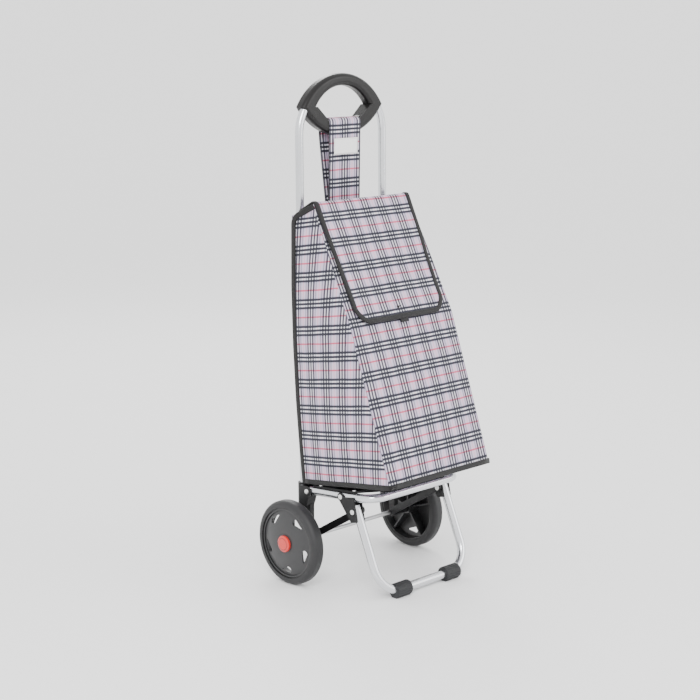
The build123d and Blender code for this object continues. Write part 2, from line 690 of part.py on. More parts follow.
def make_struts():
    """The flat bars from the axle to the leg, and the rivet heads at their front ends."""
    start, end = (0, AXLE_Z), STRUT_PIVOT
    axle_bore = cross_pin(start, AXLE_D / 2 + RUNNING_GAP)
    with BuildPart() as strut:
        with BuildSketch(side_plane(STRUT_OUTER - STRUT_T)):
            with BuildLine():
                Polyline(*strip(start, end, -STRUT_W / 2, STRUT_W / 2), close=True)
            make_face()
            with Locations(start, end):
                Circle(STRUT_W / 2)
        extrude(amount=STRUT_T)
        add(axle_bore, mode=Mode.SUBTRACT)
    write_pair(strut, "strut")
    with BuildPart() as head:
        with BuildSketch(side_plane(STRUT_OUTER - STRUT_T)):
            with Locations(end):
                Circle(RIVET_HEAD_R)
        extrude(amount=-RIVET_HEAD_H)
    write_both_sides(head, "strut_rivets")


# ---------------------------------------------------------------- bag, flap and strap


def bag_corner(index, inset):
    """A corner of the bag's side outline, drawn in by an inset."""
    count = len(BAG_OUTLINE)
    return corner(BAG_OUTLINE[index - 1], BAG_OUTLINE[index], BAG_OUTLINE[(index + 1) % count], inset)


def cross_panel(indices, near, far, half_width):
    """A panel across the bag along some corners of its outline, between two insets."""
    with BuildPart() as panel:
        with BuildSketch(side_plane(0)):
            with BuildLine():
                Polyline(
                    *[bag_corner(index, near) for index in indices],
                    *[bag_corner(index, far) for index in reversed(indices)], close=True,
                )
            make_face()
        extrude(amount=half_width, both=True)
    return panel


def make_bag():
    """The bag's panels, the stiff insert on its bottom and its edge bindings."""
    inner_half = BAG_HALF_WIDTH - PANEL_T
    write(cross_panel([0, 1], 0, PANEL_T, inner_half), "bag_back_panel")
    write(cross_panel([2, 3, 4], 0, PANEL_T, inner_half), "bag_front_panel")
    write(cross_panel([4, 0], 0, PANEL_T, inner_half), "bag_bottom_panel")
    insert_half = inner_half - BASE_INSERT_MARGIN
    write(cross_panel([4, 0], PANEL_T, PANEL_T + BASE_INSERT_T, insert_half), "bag_base_insert")
    with BuildPart() as side:
        with BuildSketch(side_plane(inner_half)):
            with BuildLine():
                Polyline(*BAG_OUTLINE, close=True)
            make_face()
        extrude(amount=PANEL_T)
    write_pair(side, "bag_side_panel")

    low_front = along(BAG_FRONT_BOTTOM, BAG_KNEE, BINDING_W)
    with BuildPart() as binding:
        for ends in ((0, 1), (4, 0)):
            edge = [bag_corner(index, 0) for index in ends]
            inner = [bag_corner(index, BINDING_W) for index in reversed(ends)]
            with BuildSketch(side_plane(BAG_HALF_WIDTH)):
                with BuildLine():
                    Polyline(*edge, *inner, close=True)
                make_face()
            extrude(amount=BINDING_T)
        with BuildSketch(side_plane(0)):
            with BuildLine():
                Polyline(*strip(BAG_FRONT_BOTTOM, low_front, 0, BINDING_T), close=True)
            make_face()
        extrude(amount=BAG_HALF_WIDTH + BINDING_T)
    write_both_sides(binding, "bag_bindings")

    with BuildPart() as patch:
        with BuildSketch(FLAP_PLANE):
            with Locations((0, -FLAP_DROP + (TAB_LENGTH - TAB_SHOWS) / 2)):
                Rectangle(TAB_W + 6, TAB_LENGTH - TAB_SHOWS - 4)
        extrude(amount=PATCH_T)
    write(patch, "closure_patch")


def flap_shape(inset):
    """The front flap's outline, drawn in by an inset at its sides and bottom."""
    top = FLAP_HALF_TOP - inset
    bottom = FLAP_HALF_BOTTOM - inset
    high = FLAP_GAP - FLAP_PROUD - PLAY
    low = -FLAP_DROP + inset
    with BuildSketch() as shape:
        with BuildLine():
            Polyline((-top, high), (top, high), (bottom, low), (-bottom, low), close=True)
        make_face()
        fillet(shape.vertices().sort_by(Axis.Y)[:2], FLAP_CORNER_R - inset)
    return shape.sketch


def make_flap():
    """The lid: its roof and its front, each with a bound edge, and the closing tab."""
    rear, front = -ROOF_REAR_GAP, -ROOF_LENGTH - FLAP_OUTER
    middle = (rear + front) / 2
    outer_shape, inner_shape = flap_shape(0), flap_shape(BINDING_W)
    with BuildPart() as roof:
        with BuildSketch(ROOF_PLANE.offset(FLAP_GAP)):
            with Locations((0, middle)):
                Rectangle(2 * (FLAP_HALF_TOP - BINDING_W), rear - front)
        extrude(amount=FLAP_T)
    write(roof, "flap_roof_panel")
    with BuildPart() as roof_binding:
        with BuildSketch(ROOF_PLANE.offset(FLAP_GAP - FLAP_PROUD)):
            offset_x = FLAP_HALF_TOP - BINDING_W / 2
            with Locations((-offset_x, middle), (offset_x, middle)):
                Rectangle(BINDING_W, rear - front)
        extrude(amount=FLAP_BINDING_T)
    write(roof_binding, "flap_roof_binding")

    with BuildPart() as panel:
        with BuildSketch(FLAP_PLANE.offset(FLAP_GAP)):
            add(inner_shape)
        extrude(amount=FLAP_T)
    write(panel, "flap_front_panel")
    with BuildPart() as binding:
        with BuildSketch(FLAP_PLANE.offset(FLAP_GAP - FLAP_PROUD)):
            add(outer_shape)
            add(inner_shape, mode=Mode.SUBTRACT)
        extrude(amount=FLAP_BINDING_T)
    write(binding, "flap_front_binding")
    with BuildPart() as tab:
        with BuildSketch(FLAP_PLANE.offset(FLAP_GAP - FLAP_PROUD - TAB_T)):
            with Locations((0, -FLAP_DROP + TAB_LENGTH / 2 - TAB_SHOWS)):
                Rectangle(TAB_W, TAB_LENGTH)
        extrude(amount=TAB_T)
    write(tab, "flap_tab")


def make_strap():
    """The hanging strap: a loop round the handle, sewn to the bag's back, with a plain label."""
    bar_y = UPRIGHT_BASE_Y + HANDLE_BOTTOM_Z * LEAN_SLOPE + HANDLE_SET_BACK
    front = bar_y - HANDLE_DEPTH / 2 - STRAP_GAP
    back = bar_y + HANDLE_DEPTH / 2 + STRAP_GAP + 1
    top = HANDLE_BOTTOM_Z + HANDLE_BAR_BOTTOM + STRAP_RISE
    join_y = bag_back_y(BAG_HINGE_Z) + STRAP_GAP
    foot = (bag_back_y(STRAP_FOOT_Z) + STRAP_GAP, STRAP_FOOT_Z)
    with BuildPart() as strap:
        with BuildSketch(side_plane(0)) as loop:
            with BuildLine():
                Polyline(
                    foot, (foot[0] + 2 * STRAP_T, STRAP_FOOT_Z),
                    (back + STRAP_T, HANDLE_BOTTOM_Z), (back + STRAP_T, top + STRAP_T),
                    (front - STRAP_T, top + STRAP_T), (join_y, BAG_HINGE_Z), close=True,
                )
            make_face()
            corners = loop.vertices().filter_by(lambda corner: corner.Z > top or corner.Y > top)
            fillet(corners, 2 * STRAP_T)
            with BuildLine():
                Polyline(
                    (join_y + STRAP_T, BAG_HINGE_Z - 14), (back, HANDLE_BOTTOM_Z), (back, top),
                    (front, top), (join_y + STRAP_T, BAG_HINGE_Z), close=True,
                )
            make_face(mode=Mode.SUBTRACT)
        extrude(amount=STRAP_W / 2, both=True)
    write(strap, "strap")
    rise = (front - STRAP_T - join_y, top + STRAP_T - BAG_HINGE_Z)
    label_plane = cross_plane((join_y, BAG_HINGE_Z), rise)
    with BuildPart() as label:
        with BuildSketch(label_plane):
            with Locations((0, LABEL_Z - BAG_HINGE_Z)):
                Rectangle(LABEL_W, LABEL_H)
        extrude(amount=LABEL_T)
    write(label, "strap_label")


os.makedirs("parts", exist_ok=True)
make_wheels()
make_axle()
make_uprights()
make_handle()
make_rear_brackets()
make_platform()
make_leg()
make_struts()
make_bag()
make_flap()
make_strap()
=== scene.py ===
import bmesh, bpy, json, math
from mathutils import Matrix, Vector, noise


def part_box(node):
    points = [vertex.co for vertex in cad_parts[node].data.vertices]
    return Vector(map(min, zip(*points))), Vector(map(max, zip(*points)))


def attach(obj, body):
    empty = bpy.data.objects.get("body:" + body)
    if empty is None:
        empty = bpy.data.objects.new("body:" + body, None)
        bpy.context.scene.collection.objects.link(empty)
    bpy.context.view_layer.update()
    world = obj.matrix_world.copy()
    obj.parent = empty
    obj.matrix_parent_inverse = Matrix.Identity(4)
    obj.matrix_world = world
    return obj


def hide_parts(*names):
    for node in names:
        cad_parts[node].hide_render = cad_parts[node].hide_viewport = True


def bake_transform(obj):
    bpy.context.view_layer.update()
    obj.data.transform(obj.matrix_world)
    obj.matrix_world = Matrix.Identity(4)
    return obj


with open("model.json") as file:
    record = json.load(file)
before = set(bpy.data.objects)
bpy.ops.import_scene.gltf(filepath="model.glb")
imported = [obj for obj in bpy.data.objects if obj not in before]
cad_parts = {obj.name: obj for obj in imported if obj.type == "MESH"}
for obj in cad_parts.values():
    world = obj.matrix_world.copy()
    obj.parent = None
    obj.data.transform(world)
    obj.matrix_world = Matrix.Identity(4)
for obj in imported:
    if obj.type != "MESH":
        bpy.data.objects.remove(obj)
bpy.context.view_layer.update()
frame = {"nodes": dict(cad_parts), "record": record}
nodes = frame["nodes"]


# ------------------------------------------------------------ measures, all in metres
def mid(node, axis):
    low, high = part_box(node)
    return (low[axis] + high[axis]) / 2


back_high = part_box("bag_back_panel")[1]
front_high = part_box("bag_front_panel")[1]
side_low, side_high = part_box("bag_side_panel_right")
bow_low, bow_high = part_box("handle_bow")
strap_low, strap_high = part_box("strap")
label_low, label_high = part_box("strap_label")

CLOTH_THICK = 0.0012
LABEL_HALF_WIDTH = 0.030
LABEL_HALF_HEIGHT = 0.015
# the bag's side outline as (y, z): back bottom, back top, ridge, knee, front bottom
BACK_BOTTOM = Vector((back_high[1] - 0.0058, side_low[2] + 0.0004))
BACK_TOP = Vector((side_high[1], back_high[2]))
RIDGE = Vector((front_high[1] - 0.0009, front_high[2]))
KNEE = Vector((RIDGE.x - 0.1075, RIDGE.y - 0.2115))
FRONT_BOTTOM = Vector((side_low[1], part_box("bag_bottom_panel")[1][2] - 0.0016))
# how far apart the check repeats up the cloth, and across it
PLAID_V = 0.0495
PLAID_U = 0.0400
# the axle's line in the wheel parts' own coordinates
AXLE_PLACE = nodes["wheel_disc_right"].matrix_world.inverted() @ Vector((0, mid("axle", 1), mid("axle", 2)))


# ------------------------------------------------------------ materials
def new_material(name):
    material = bpy.data.materials.new(name)
    material.use_nodes = True
    tree = material.node_tree
    shader = tree.nodes["Principled BSDF"]
    return material, tree, shader


def set_input(tree, made, key, value):
    """Links a socket to a node's input, or gives the input a plain value."""
    if isinstance(value, bpy.types.NodeSocket):
        tree.links.new(value, made.inputs[key])
    else:
        made.inputs[key].default_value = value


def node(tree, kind, inputs=None, **settings):
    made = tree.nodes.new(kind)
    for key, value in settings.items():
        setattr(made, key, value)
    for key, value in (inputs or {}).items():
        set_input(tree, made, key, value)
    return made


def math_node(tree, operation, *values):
    return node(tree, "ShaderNodeMath", dict(enumerate(values)), operation=operation).outputs[0]


def mix(tree, factor, a, b):
    """Colour a where the factor is 0 and colour b where it is 1."""
    return node(tree, "ShaderNodeMix", {0: factor, 6: a, 7: b}, data_type="RGBA").outputs[2]


def lay(tree, mask, strength, under, tint):
    """A tint laid over the colour under it where the mask is 1, at some strength."""
    return mix(tree, math_node(tree, "MULTIPLY", mask, strength), under, tint + (1,))


def fade(tree, distance, near, far):
    """1 closer than near, 0 beyond far, and a straight slope between them."""
    made = node(tree, "ShaderNodeMapRange", {"Value": distance, "From Min": near, "From Max": far,
                                             "To Min": 1.0, "To Max": 0.0})
    return made.outputs[0]


def bump(tree, shader, height, strength, distance):
    made = node(tree, "ShaderNodeBump", {"Strength": strength, "Distance": distance, "Height": height})
    tree.links.new(made.outputs[0], shader.inputs["Normal"])


def ring_mask(tree, radius, width):
    """1 on a ring of some width round the axle's line, with soft edges."""
    place = node(tree, "ShaderNodeTexCoord").outputs["Object"]
    split = node(tree, "ShaderNodeSeparateXYZ", {0: place})
    y = math_node(tree, "SUBTRACT", split.outputs[1], AXLE_PLACE.y)
    z = math_node(tree, "SUBTRACT", split.outputs[2], AXLE_PLACE.z)
    square = math_node(tree, "ADD", math_node(tree, "MULTIPLY", y, y), math_node(tree, "MULTIPLY", z, z))
    away = math_node(tree, "SUBTRACT", math_node(tree, "SQRT", square), radius)
    return fade(tree, math_node(tree, "ABSOLUTE", away), width * 0.3, width * 0.7)


def plain_material(name, color, roughness, metallic=0.0, grain=900.0, depth=0.00004, vary=0.25, coat=0.0,
                   stretch=None, gloss=0.5, rings=()):
    """A surface with fine grain in its colour, roughness and relief.

    Each ring is the (radius, width) of a groove round the axle, cut into the relief and darkened in the
    colour with painted shade.
    """
    material, tree, shader = new_material(name)
    place = node(tree, "ShaderNodeTexCoord").outputs["Object"]
    if stretch:
        place = node(tree, "ShaderNodeMapping", {"Vector": place, "Scale": stretch}).outputs[0]
    fine = node(tree, "ShaderNodeTexNoise", {"Vector": place, "Scale": grain, "Detail": 3.0}).outputs["Fac"]
    wide = node(tree, "ShaderNodeTexNoise", {"Vector": place, "Scale": 22.0, "Detail": 4.0}).outputs["Fac"]
    dark = [channel * (1 - vary) for channel in color] + [1.0]
    light = [min(1.0, channel * (1 + vary)) for channel in color] + [1.0]
    tone, relief = mix(tree, wide, dark, light), fine
    for radius, width in rings:
        groove = ring_mask(tree, radius, width)
        # painted shade: the colour inside each groove is darkened to 15%, standing in for the shade that
        # falls in it
        shade = [channel * 0.15 for channel in color] + [1.0]
        tone = mix(tree, math_node(tree, "MULTIPLY", groove, 0.85), tone, shade)
        relief = math_node(tree, "SUBTRACT", relief, math_node(tree, "MULTIPLY", groove, 6.0))
    tree.links.new(tone, shader.inputs["Base Color"])
    shader.inputs["Specular IOR Level"].default_value = gloss
    rough = node(tree, "ShaderNodeMapRange", {"Value": wide, "From Min": 0.3, "From Max": 0.7,
                                              "To Min": roughness * 0.85, "To Max": roughness * 1.15})
    tree.links.new(rough.outputs[0], shader.inputs["Roughness"])
    shader.inputs["Metallic"].default_value = metallic
    shader.inputs["Coat Weight"].default_value = coat
    shader.inputs["Coat Roughness"].default_value = 0.2
    bump(tree, shader, relief, 0.6, depth)
    return material


def line_mask(tree, coordinate, period, centre, width):
    """1 on a woven line of some width that comes back every period, with soft edges."""
    moved = math_node(tree, "SUBTRACT", coordinate, centre)
    turns = math_node(tree, "DIVIDE", moved, period)
    share = math_node(tree, "SUBTRACT", turns, math_node(tree, "ROUND", turns))
    distance = math_node(tree, "MULTIPLY", math_node(tree, "ABSOLUTE", share), period)
    return fade(tree, distance, width * 0.34, width * 0.66)


def union(tree, masks):
    total = masks[0]
    for mask in masks[1:]:
        total = math_node(tree, "MAXIMUM", total, mask)
    return total


def woven_lines(tree, coordinate, period, places, width):
    """Lines of one width at several places in each repeat."""
    return union(tree, [line_mask(tree, coordinate, period, at, width) for at in places])


def check_material(name, shift_u=0.0, shift_v=0.0, period_u=PLAID_U):
    """The bag's woven check: dark triple lines both ways, a thin red line between the level ones."""
    material, tree, shader = new_material(name)
    uv = node(tree, "ShaderNodeUVMap", None, uv_map="cloth").outputs[0]
    wobble = node(tree, "ShaderNodeTexNoise", {"Vector": uv, "Scale": 30.0, "Detail": 2.0}).outputs["Color"]
    wobble = node(tree, "ShaderNodeVectorMath", {0: wobble, 1: (0.5, 0.5, 0.5)},
                  operation="SUBTRACT").outputs[0]
    wobble = node(tree, "ShaderNodeVectorMath", {0: wobble, "Scale": 0.0016}, operation="SCALE").outputs[0]
    moved = node(tree, "ShaderNodeVectorMath", {0: uv, 1: wobble}, operation="ADD").outputs[0]
    split = node(tree, "ShaderNodeSeparateXYZ", {0: moved})
    u = math_node(tree, "ADD", split.outputs[0], 10.0 * period_u - shift_u)
    v = math_node(tree, "ADD", split.outputs[1], 10.0 * PLAID_V - shift_v)
    dark_v = woven_lines(tree, v, PLAID_V, (-0.0074, 0.0, 0.0074), 0.0046)
    dark_u = woven_lines(tree, u, period_u, (-0.0066, 0.0, 0.0066), 0.0044)
    thin_u = woven_lines(tree, u, period_u, (-0.0124, 0.0124), 0.0022)
    white_v = woven_lines(tree, v, PLAID_V, (-0.0035, 0.0035), 0.0030)
    white_u = woven_lines(tree, u, period_u, (-0.0030, 0.0030), 0.0030)
    red_v = line_mask(tree, v, PLAID_V, PLAID_V / 2, 0.0030)
    pink_u = line_mask(tree, u, period_u, period_u / 2, 0.0016)
    faint_u = woven_lines(tree, u, period_u, (period_u / 2 - 0.0055, period_u / 2 + 0.0055), 0.0012)
    # the ground turns pink about halfway between two repeats
    swing = math_node(tree, "SINE", math_node(tree, "MULTIPLY", v, math.pi / PLAID_V))
    swing = math_node(tree, "ABSOLUTE", swing)
    blush = node(tree, "ShaderNodeMapRange", {"Value": swing, "From Min": 0.45, "From Max": 1.0}).outputs[0]
    color = lay(tree, blush, 0.6, (0.44, 0.43, 0.56, 1), (0.64, 0.44, 0.56))
    color = lay(tree, white_v, 0.75, color, (0.86, 0.85, 0.88))
    color = lay(tree, white_u, 0.6, color, (0.84, 0.83, 0.87))
    color = lay(tree, faint_u, 0.5, color, (0.30, 0.27, 0.36))
    color = lay(tree, pink_u, 0.55, color, (0.62, 0.20, 0.30))
    color = lay(tree, red_v, 0.85, color, (0.50, 0.020, 0.075))
    color = lay(tree, thin_u, 0.75, color, (0.09, 0.09, 0.14))
    color = lay(tree, dark_u, 0.94, color, (0.012, 0.012, 0.026))
    color = lay(tree, dark_v, 0.98, color, (0.005, 0.005, 0.014))
    threads = [node(tree, "ShaderNodeTexWave", {"Vector": uv, "Scale": 320.0, "Distortion": 0.6},
                    wave_type="BANDS", bands_direction=way).outputs["Fac"] for way in "XY"]
    weave = math_node(tree, "MULTIPLY", *threads)
    color = lay(tree, weave, 0.07, color, (0.95, 0.95, 0.97))
    tree.links.new(color, shader.inputs["Base Color"])
    shader.inputs["Roughness"].default_value = 0.72
    shader.inputs["Specular IOR Level"].default_value = 0.15
    shader.inputs["Sheen Weight"].default_value = 0.05
    crease = node(tree, "ShaderNodeTexNoise", {"Vector": uv, "Scale": 16.0, "Detail": 3.0}).outputs["Fac"]
    height = math_node(tree, "ADD", math_node(tree, "MULTIPLY", weave, 0.05), crease)
    bump(tree, shader, height, 0.35, 0.004)
    return material


def tape_material(name, color, rib=260.0):
    """Black woven tape with a fine rib."""
    material, tree, shader = new_material(name)
    place = node(tree, "ShaderNodeTexCoord").outputs["Object"]
    rows = node(tree, "ShaderNodeTexWave", {"Vector": place, "Scale": rib, "Distortion": 1.5, "Detail": 2.0},
                wave_type="BANDS", bands_direction="DIAGONAL").outputs["Fac"]
    wide = node(tree, "ShaderNodeTexNoise", {"Vector": place, "Scale": 60.0, "Detail": 3.0}).outputs["Fac"]
    low = [channel * 0.6 for channel in color] + [1.0]
    high = [channel * 1.5 for channel in color] + [1.0]
    tree.links.new(mix(tree, math_node(tree, "MULTIPLY", rows, wide), low, high), shader.inputs["Base Color"])
    shader.inputs["Roughness"].default_value = 0.62
    shader.inputs["Specular IOR Level"].default_value = 0.3
    shader.inputs["Sheen Weight"].default_value = 0.08
    bump(tree, shader, rows, 0.5, 0.0003)
    return material


def label_material(name):
    """White woven label with a dashed stitch line inside its edge."""
    material, tree, shader = new_material(name)
    uv = node(tree, "ShaderNodeUVMap", None, uv_map="cloth").outputs[0]
    split = node(tree, "ShaderNodeSeparateXYZ", {0: uv})
    across = math_node(tree, "ABSOLUTE", split.outputs[0])
    along = math_node(tree, "ABSOLUTE", split.outputs[1])
    side_gap = math_node(tree, "SUBTRACT", LABEL_HALF_WIDTH, across)
    end_gap = math_node(tree, "SUBTRACT", LABEL_HALF_HEIGHT, along)
    edge = math_node(tree, "MINIMUM", side_gap, end_gap)
    off_line = math_node(tree, "ABSOLUTE", math_node(tree, "SUBTRACT", edge, 0.0022))
    line = fade(tree, off_line, 0.0002, 0.0006)
    slant = math_node(tree, "ADD", split.outputs[0], split.outputs[1])
    beat = math_node(tree, "SINE", math_node(tree, "MULTIPLY", slant, 2200.0))
    dash = math_node(tree, "GREATER_THAN", beat, -0.3)
    stitches = math_node(tree, "MULTIPLY", line, dash)
    color = lay(tree, stitches, 0.7, (0.80, 0.80, 0.79, 1), (0.30, 0.30, 0.32))
    tree.links.new(color, shader.inputs["Base Color"])
    shader.inputs["Roughness"].default_value = 0.6
    weave = node(tree, "ShaderNodeTexNoise", {"Vector": uv, "Scale": 1500.0, "Detail": 2.0}).outputs["Fac"]
    bump(tree, shader, weave, 0.4, 0.0002)
    return material


side_check = check_material("side_check", shift_u=0.0130, shift_v=0.0290)
front_check = check_material("front_check", shift_v=0.0060)
flap_check = check_material("flap_check", shift_v=0.0100)
strap_check = check_material("strap_check", period_u=0.0380)
tape = tape_material("binding_tape", (0.007, 0.0065, 0.007))
webbing = tape_material("black_webbing", (0.006, 0.006, 0.0065))
lining = tape_material("lining_cloth", (0.012, 0.012, 0.013), 400.0)
aluminium = plain_material("satin_aluminium", (0.66, 0.67, 0.69), 0.22, metallic=1.0, grain=1400.0,
                           depth=0.00001, vary=0.05)
grip_black = plain_material("grip_black", (0.005, 0.0045, 0.0045), 0.30, grain=700.0, depth=0.00006,
                            vary=0.2, gloss=0.28)
bracket_black = plain_material("bracket_black", (0.006, 0.006, 0.0065), 0.42, depth=0.00005, gloss=0.3)
strut_black = plain_material("strut_black", (0.005, 0.005, 0.0055), 0.36, grain=600.0, vary=0.2, gloss=0.35)
board_black = plain_material("board_black", (0.005, 0.005, 0.0055), 0.5, grain=1100.0, depth=0.00006,
                             gloss=0.25)
zinc = plain_material("zinc_fixings", (0.76, 0.76, 0.75), 0.3, metallic=1.0, depth=0.00001, vary=0.08)
steel = plain_material("axle_steel", (0.55, 0.55, 0.56), 0.32, metallic=1.0, depth=0.00001, vary=0.08,
                       stretch=(0.05, 1, 1))
tyre_grey = plain_material("tyre_grey", (0.016, 0.016, 0.017), 0.50, grain=800.0, depth=0.00008, gloss=0.4,
                           rings=[(0.0669, 0.0016)])
wheel_grey = plain_material("wheel_grey", (0.018, 0.018, 0.019), 0.36, grain=1000.0, depth=0.00005,
                            rings=[(0.0662, 0.0018), (0.0182, 0.0012)])
cap_red = plain_material("cap_red", (0.60, 0.022, 0.014), 0.25, depth=0.00002, vary=0.08, coat=0.3,
                         rings=[(0.0112, 0.0012)])
foot_grey = plain_material("foot_grey", (0.016, 0.0165, 0.018), 0.5, grain=700.0, depth=0.0001, gloss=0.35)
insert_grey = plain_material("insert_grey", (0.08, 0.08, 0.08), 0.6)
label_white = label_material("label_white")

SLOT_MATERIALS = {
    "tube_metal": aluminium,
    "handle_plastic": grip_black,
    "bracket_plastic": bracket_black,
    "fixing_metal": zinc,
    "axle_steel": steel,
    "spacer_plastic": bracket_black,
    "tyre_rubber": tyre_grey,
    "wheel_plastic": wheel_grey,
    "bush_plastic": bracket_black,
    "cap_plastic": cap_red,
    "board_plastic": board_black,
    "strut_metal": strut_black,
    "foot_rubber": foot_grey,
    "lining_cloth": lining,
    "insert_plastic": insert_grey,
    "binding_tape": tape,
    "strap_webbing": webbing,
    "label_cloth": label_white,
    "check_cloth": front_check,
}
for part in frame["record"]["subparts"]:
    piece = nodes[part["node"]]
    piece.data.materials.clear()
    piece.data.materials.append(SLOT_MATERIALS[part["material_slot"]])


# ------------------------------------------------------------ mesh helpers
def grid_faces(rows, columns, start=0, flip=False):
    faces = []
    for row in range(rows - 1):
        for column in range(columns - 1):
            a = start + row * columns + column
            face = (a, a + 1, a + columns + 1, a + columns)
            faces.append(face[::-1] if flip else face)
    return faces


def make_mesh(name, points, faces, uvs=None, materials=(), face_materials=None):
    """A smooth mesh object; uvs holds one (u, v) in metres for each corner of each face."""
    mesh = bpy.data.meshes.new(name)
    mesh.from_pydata([tuple(point) for point in points], [], faces)
    if uvs:
        layer = mesh.uv_layers.new(name="cloth")
        layer.data.foreach_set("uv", [value for pair in uvs for value in pair])
    for material in materials:
        mesh.materials.append(material)
    if face_materials:
        mesh.polygons.foreach_set("material_index", face_materials)
    mesh.polygons.foreach_set("use_smooth", [True] * len(mesh.polygons))
    made = bpy.data.objects.new(name, mesh)
    bpy.context.collection.objects.link(made)
    return made


def weld(made):
    """Joins vertices in the same place, so that panels that meet shade as one skin."""
    work = bmesh.new()
    work.from_mesh(made.data)
    bmesh.ops.remove_doubles(work, verts=work.verts, dist=0.00005)
    bmesh.ops.recalc_face_normals(work, faces=work.faces)
    work.to_mesh(made.data)
    work.free()


def bake(made):
    """Applies a piece's modifiers, so that it stands alone as a mesh."""
    bpy.context.view_layer.update()
    graph = bpy.context.evaluated_depsgraph_get()
    mesh = bpy.data.meshes.new_from_object(made.evaluated_get(graph))
    made.modifiers.clear()
    made.data = mesh


def thicken(made, thickness, offset, inner=0, rim=0):
    """Gives cloth a thickness; inner and rim count on to the materials of its inside and its edges."""
    thick = made.modifiers.new("thick", "SOLIDIFY")
    thick.thickness = thickness
    thick.offset = offset
    thick.material_offset = inner
    thick.material_offset_rim = rim


def sweep_band(name, points, normals, width, height, material):
    """A flat band with rounded edges along points: width across, height along the normals."""
    section = []
    radius = height * 0.42
    for corner_x, corner_y, turn in ((1, 1, 0), (-1, 1, 90), (-1, -1, 180), (1, -1, 270)):
        for step in (0, 30, 60, 90):
            angle = math.radians(turn + step)
            section.append((corner_x * (width / 2 - radius) + radius * math.cos(angle),
                            corner_y * (height / 2 - radius) + radius * math.sin(angle)))
    vertices, count, last = [], len(section), len(points) - 1
    for index, (point, normal) in enumerate(zip(points, normals)):
        before, after = points[max(0, index - 1)], points[min(last, index + 1)]
        tangent = (after - before).normalized()
        across = normal.cross(tangent).normalized()
        up = tangent.cross(across).normalized()
        for a, b in section:
            vertices.append(point + across * a + up * b)
    faces = []
    for ring in range(last):
        low, high = ring * count, (ring + 1) * count
        for a in range(count):
            b = (a + 1) % count
            faces.append((low + a, low + b, high + b, high + a))
    faces.append(tuple(range(count))[::-1])
    faces.append(tuple(last * count + a for a in range(count)))
    made = make_mesh(name, vertices, faces, materials=[material])
    weld(made)
    return made


def lerp(a, b, share):
    return a + (b - a) * share


def clamp(value):
    """The value held between 0 and 1."""
    return max(0.0, min(1.0, value))


def bend(a, corner, b, share):
    """A point on the curve from a to b that leaves and arrives along the lines to the corner."""
    return a * (1 - share) ** 2 + corner * 2 * share * (1 - share) + b * share ** 2


def along_line(corners, distance):
    """The point at a distance along a bent line, and the line's direction there."""
    for start, end in zip(corners, corners[1:]):
        length = (end - start).length
        if distance <= length or end is corners[-1]:
            return start + (end - start) * (distance / length), (end - start).normalized()
        distance -= length


# ------------------------------------------------------------ the bag
FRONT_LINE = [FRONT_BOTTOM, KNEE, RIDGE]
FRONT_LENGTH = (KNEE - FRONT_BOTTOM).length + (RIDGE - KNEE).length
BOTTOM_LINE_TILT = (FRONT_BOTTOM.y - BACK_BOTTOM.y) / (FRONT_BOTTOM.x - BACK_BOTTOM.x)


def half_width(z, stops):
    """Half the bag's width at a height, between stops of (height, half width)."""
    for (z0, w0), (z1, w1) in zip(stops, stops[1:]):
        if z <= z1:
            return lerp(w0, w1, max(0.0, (z - z0) / (z1 - z0)))
    return stops[-1][1]


def edge_half(z):
    """Half the bag's width at its front edge at a height."""
    return half_width(z, [(0.18, 0.1325), (0.30, 0.1335), (0.50, 0.1335), (0.60, 0.1290), (0.72, 0.1225)])


def back_half(z):
    """Half the bag's width at its back edge at a height, which draws in towards the bottom."""
    return half_width(z, [(0.18, 0.1165), (0.25, 0.1230), (0.34, 0.1300), (0.45, 0.1355), (0.56, 0.1375),
                          (0.70, 0.1350)])


def side_point(share, level):
    """A point on the right side panel.

    The share runs from 0 at the back edge to 1 at the front, the level from 0 at the bottom to 1.
    """
    back = lerp(BACK_BOTTOM, BACK_TOP, level)
    front, _ = along_line(FRONT_LINE, FRONT_LENGTH * level)
    place = lerp(back, front, share)
    belly = math.sin(math.pi * clamp(level)) ** 0.8
    bulge = 0.0060 * belly * math.sin(math.pi * share)
    fold = noise.noise(Vector((place.x * 9.0, place.y * 5.0, 3.0))) * 0.0022 * math.sin(math.pi * share)
    half = lerp(back_half(back.y), edge_half(front.y), share ** 0.8)
    return Vector((half + bulge + fold, place.x, place.y))


def front_point(across, level):
    """A point on the front panel, across from -1 at the left edge to 1, level as for the side."""
    place, direction = along_line(FRONT_LINE, FRONT_LENGTH * level)
    outward = Vector((0, -direction.y, direction.x))
    half = edge_half(place.y)
    swell = 0.0060 * (1 - across * across) * math.sin(math.pi * min(1.0, level / 0.55))
    fold = noise.noise(Vector((across * 1.7, place.y * 6.0, 7.0))) * 0.0020 * (1 - across * across)
    fold *= clamp((0.53 - level) * 12.0)
    return Vector((half * across, place.x, place.y)) + outward * (swell + fold)


